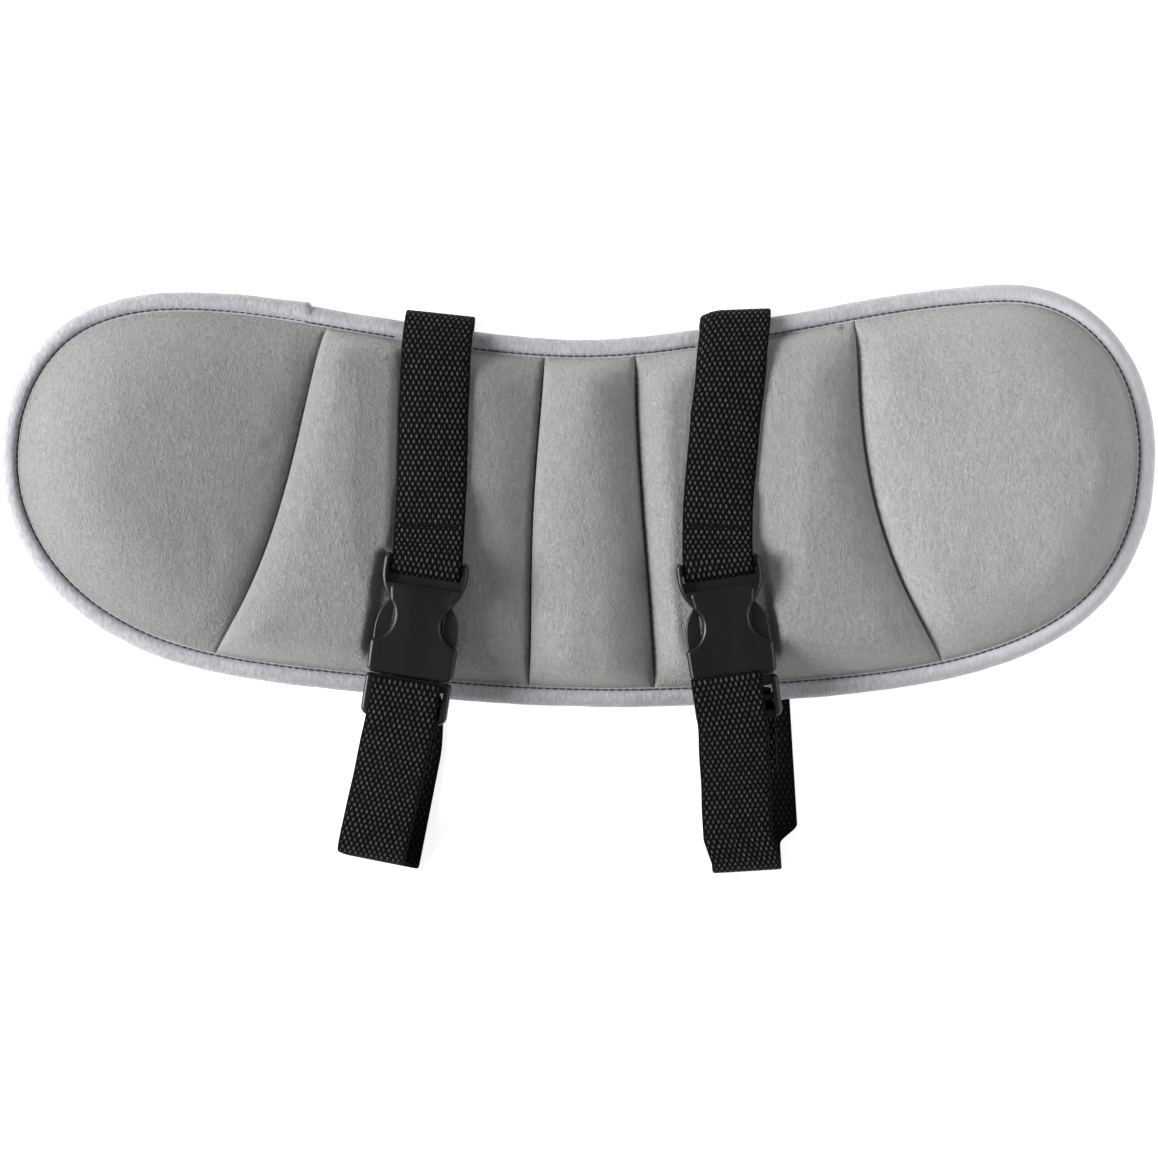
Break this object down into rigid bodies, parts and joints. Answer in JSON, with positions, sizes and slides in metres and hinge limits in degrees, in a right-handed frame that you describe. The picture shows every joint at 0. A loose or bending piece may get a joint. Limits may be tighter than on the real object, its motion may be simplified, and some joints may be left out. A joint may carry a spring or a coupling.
{
  "type": "armrest pad",
  "caption": "Crescent-shaped quilted plush armrest pad with fabric edge binding, held by webbing straps that close with side-release buckles.",
  "frame": {"origin": "on the flat back face, at the middle of the pad's length and width", "axes": "+X along the pad's length, +Y towards the hollow long edge that the straps fold over, +Z out of the plush face; the pad lies on its back"},
  "size_m": [0.417, 0.212, 0.0303],
  "materials": {
    "plush": "short pile",
    "fibre_filling": "fibre",
    "foam": "open-cell foam",
    "lining_fabric": "nonwoven",
    "back_fabric": "non-slip woven",
    "binding_fabric": "brushed",
    "grey_thread": "thread",
    "black_thread": "thread",
    "webbing": "woven polypropylene",
    "buckle_plastic": "moulded acetal"
  },
  "bodies": {
    "pad": {"back_cover": "back_fabric", "base_foam": "foam", "lining": "lining_fabric", "edge_binding": "binding_fabric", "binding_thread": "grey_thread", "panel_seam_threads": "grey_thread", "filling_left_end": "fibre_filling", "filling_left_mid": "fibre_filling", "filling_centre": "fibre_filling", "filling_right_mid": "fibre_filling", "filling_right_end": "fibre_filling", "front_panel_left_end": "plush", "front_panel_left_mid": "plush", "front_panel_centre": "plush", "front_panel_right_mid": "plush", "front_panel_right_end": "plush", "upper_strap_left": "webbing", "lower_strap_rear_run_left": "webbing", "socket_left": "buckle_plastic", "upper_strap_right": "webbing", "lower_strap_rear_run_right": "webbing", "socket_right": "buckle_plastic", "strap_anchor_stitches": "black_thread", "strap_loop_tacks": "black_thread"},
    "plug_left": {"plug_left": "buckle_plastic", "lower_strap_front_run_left": "webbing"},
    "latch_left_left": {"plug_left_arm_left": "buckle_plastic"},
    "latch_left_right": {"plug_left_arm_right": "buckle_plastic"},
    "plug_right": {"plug_right": "buckle_plastic", "lower_strap_front_run_right": "webbing"},
    "latch_right_left": {"plug_right_arm_left": "buckle_plastic"},
    "latch_right_right": {"plug_right_arm_right": "buckle_plastic"}
  },
  "joints": [
    {"name": "buckle_release_left", "type": "slide", "parent": "pad", "child": "plug_left", "axis": [-0.153, -0.9882, 0], "range_m": [0, 0.034], "deforming": ["plug_left_arm_left", "plug_left_arm_right"]},
    {"name": "latch_press_left_left", "type": "hinge", "parent": "plug_left", "child": "latch_left_left", "pos_m": [-0.06956, -0.06486, 0.0256], "axis": [0, 0, -1], "range_deg": [0, 8], "stiffness_Nm_per_rad": 1},
    {"name": "latch_press_left_right", "type": "hinge", "parent": "plug_left", "child": "latch_left_right", "pos_m": [-0.05098, -0.06774, 0.0256], "axis": [0, 0, 1], "range_deg": [0, 8], "stiffness_Nm_per_rad": 1},
    {"name": "buckle_release_right", "type": "slide", "parent": "pad", "child": "plug_right", "axis": [0.1392, -0.9903, 0], "range_m": [0, 0.034], "deforming": ["plug_right_arm_left", "plug_right_arm_right"]},
    {"name": "latch_press_right_left", "type": "hinge", "parent": "plug_right", "child": "latch_right_left", "pos_m": [0.04658, -0.068, 0.0256], "axis": [0, 0, -1], "range_deg": [0, 8], "stiffness_Nm_per_rad": 1},
    {"name": "latch_press_right_right", "type": "hinge", "parent": "plug_right", "child": "latch_right_right", "pos_m": [0.0652, -0.06538, 0.0256], "axis": [0, 0, 1], "range_deg": [0, 8], "stiffness_Nm_per_rad": 1}
  ]
}
